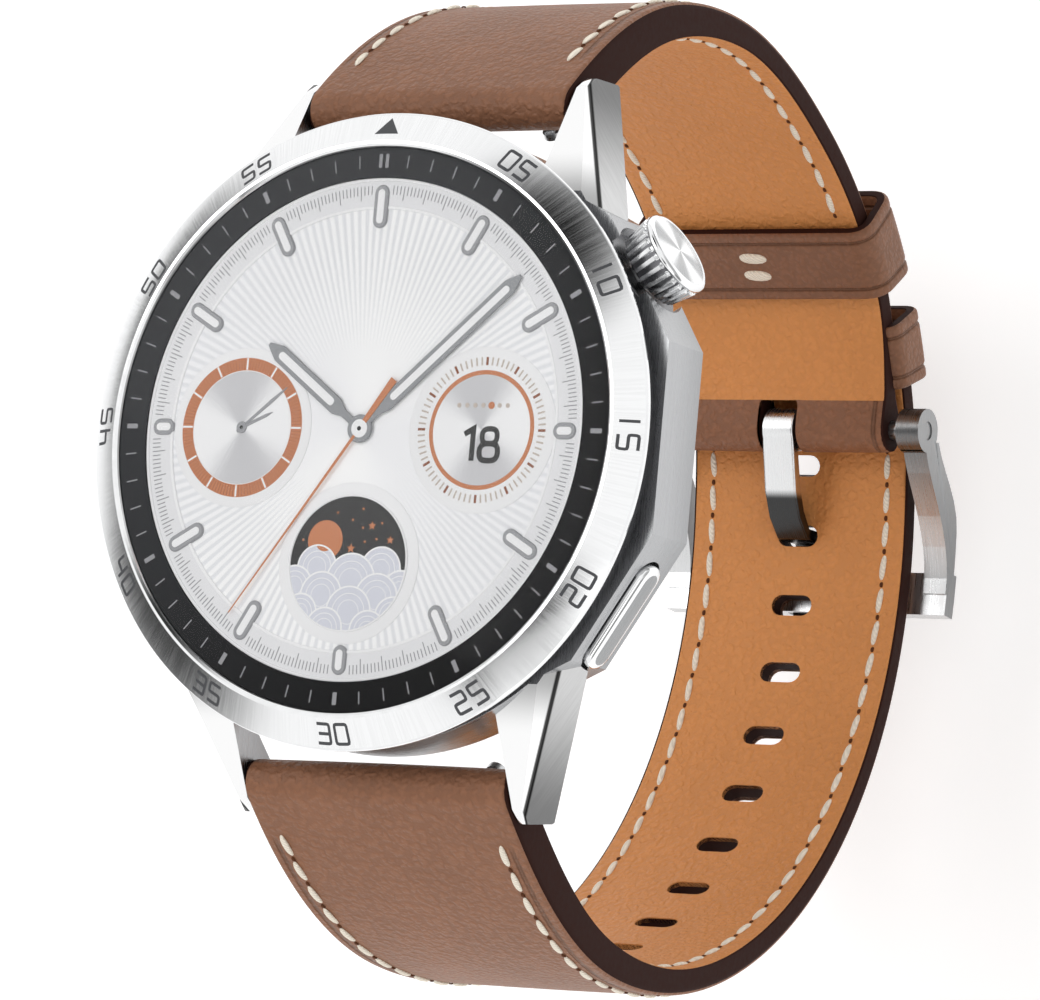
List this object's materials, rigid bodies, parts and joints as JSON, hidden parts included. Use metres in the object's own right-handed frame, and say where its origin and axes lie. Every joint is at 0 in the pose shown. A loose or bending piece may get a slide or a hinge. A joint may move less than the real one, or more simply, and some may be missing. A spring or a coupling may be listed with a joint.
{
  "type": "smartwatch",
  "caption": "Round steel smartwatch with a flat glass, engraved bezel, knurled crown and side button, on a buckled leather strap with keepers and quick-release bars.",
  "frame": {"origin": "centre of the sensor window's outer face, on the dial's axis", "axes": "+Z out through the dial, +Y to 12 o'clock, +X to 3 o'clock; the strap loop hangs below, towards -Z"},
  "size_m": [0.0464, 0.074, 0.0715],
  "materials": {
    "steel_case": "brushed",
    "steel_bezel": "satin with polished inner edge",
    "steel_small": "satin",
    "steel_crown": "polished and knurled",
    "cover_glass": "clear, flat",
    "dial_black": "gloss",
    "dial_face": "printed sunburst under glass",
    "case_black": "fine matte",
    "sensor_glass": "tinted",
    "rubber": "matte",
    "circuit": "solder mask",
    "led": "clear",
    "copper": "enamelled wire",
    "battery_foil": "foil",
    "shield_can": "tinned sheet",
    "flex": "film",
    "leather_brown": "fine grain, semi-matte",
    "leather_tan": "smooth grain, semi-matte",
    "filler": "raw board",
    "buckle_steel": "brushed"
  },
  "bodies": {
    "case": {"mid_frame": "steel_case", "bezel": "steel_bezel", "cover_glass": "cover_glass", "minute_ring": "dial_black", "display_module": "dial_face", "display_bracket": "case_black", "display_gasket": "rubber", "rear_case": "case_black", "rear_gasket": "rubber", "sensor_ring": "case_black", "sensor_window": "sensor_glass", "sensor_board": "circuit", "sensor_leds": "led", "photodiodes": "dial_black", "charging_coil": "copper", "battery": "battery_foil", "main_board": "circuit", "board_shields": "shield_can", "inner_chassis": "case_black", "haptic_motor": "steel_small", "speaker": "case_black", "microphone": "copper", "chassis_screws": "steel_small", "display_flex": "flex", "crown_tube": "steel_small", "crown_switch": "case_black", "button_switch": "case_black", "bar_6_tips": "steel_small"},
    "crown_slide": {"crown_clip": "steel_small"},
    "crown": {"crown_stem": "steel_small", "crown_o_rings": "rubber", "crown_cap": "steel_crown", "crown_face": "steel_crown"},
    "button": {"side_button": "steel_case", "button_o_rings": "rubber", "button_clip": "steel_small"},
    "strap": {"bar_12_barrel": "steel_small", "bar_6_barrel": "steel_small", "short_outer": "leather_brown", "short_filler": "filler", "short_lining": "leather_tan", "long_outer": "leather_brown", "long_filler": "filler", "long_lining": "leather_tan", "fixed_keeper": "leather_brown"},
    "release_12": {"bar_12_release": "steel_small"},
    "release_6": {"bar_6_release": "steel_small"},
    "keeper": {"free_keeper": "leather_brown"},
    "buckle": {"buckle_frame": "buckle_steel", "buckle_pin": "steel_small"},
    "tongue": {"buckle_tongue": "buckle_steel"}
  },
  "joints": [
    {"name": "strap_swing", "type": "hinge", "parent": "case", "child": "strap", "pos_m": [0, 0.0248, 0.0043], "axis": [1, 0, 0], "range_deg": [0, 50]},
    {"name": "keeper_slide", "type": "hinge", "parent": "strap", "child": "keeper", "pos_m": [0, 0, -0.0203], "axis": [1, 0, 0], "range_deg": [-2.5, 8]},
    {"name": "buckle_pivot", "type": "hinge", "parent": "strap", "child": "buckle", "pos_m": [0, 0.0103, -0.0518], "axis": [1, 0, 0], "range_deg": [0, 1.5]},
    {"name": "tongue_pivot", "type": "hinge", "parent": "buckle", "child": "tongue", "pos_m": [0, 0.0103, -0.0518], "axis": [1, 0, 0], "range_deg": [0, 1.5]},
    {"name": "release_12_slide", "type": "slide", "parent": "strap", "child": "release_12", "axis": [-1, 0, 0], "range_m": [0, 0.0012], "stiffness_N_per_m": 500, "springref_m": -0.0004},
    {"name": "release_6_slide", "type": "slide", "parent": "strap", "child": "release_6", "axis": [-1, 0, 0], "range_m": [0, 0.0012], "stiffness_N_per_m": 500, "springref_m": -0.0004},
    {"name": "crown_press", "type": "slide", "parent": "case", "child": "crown_slide", "axis": [-0.848, -0.5299, 0], "range_m": [0, 0.0004], "stiffness_N_per_m": 2000, "springref_m": -0.0003},
    {"name": "crown_spin", "type": "hinge", "parent": "crown_slide", "child": "crown", "pos_m": [0.01866, 0.01166, 0.007], "axis": [0.848, 0.5299, 0], "continuous": true},
    {"name": "button_press", "type": "slide", "parent": "case", "child": "button", "axis": [-0.848, 0.5299, 0], "range_m": [0, 0.00035], "stiffness_N_per_m": 2000, "springref_m": -0.0003}
  ]
}
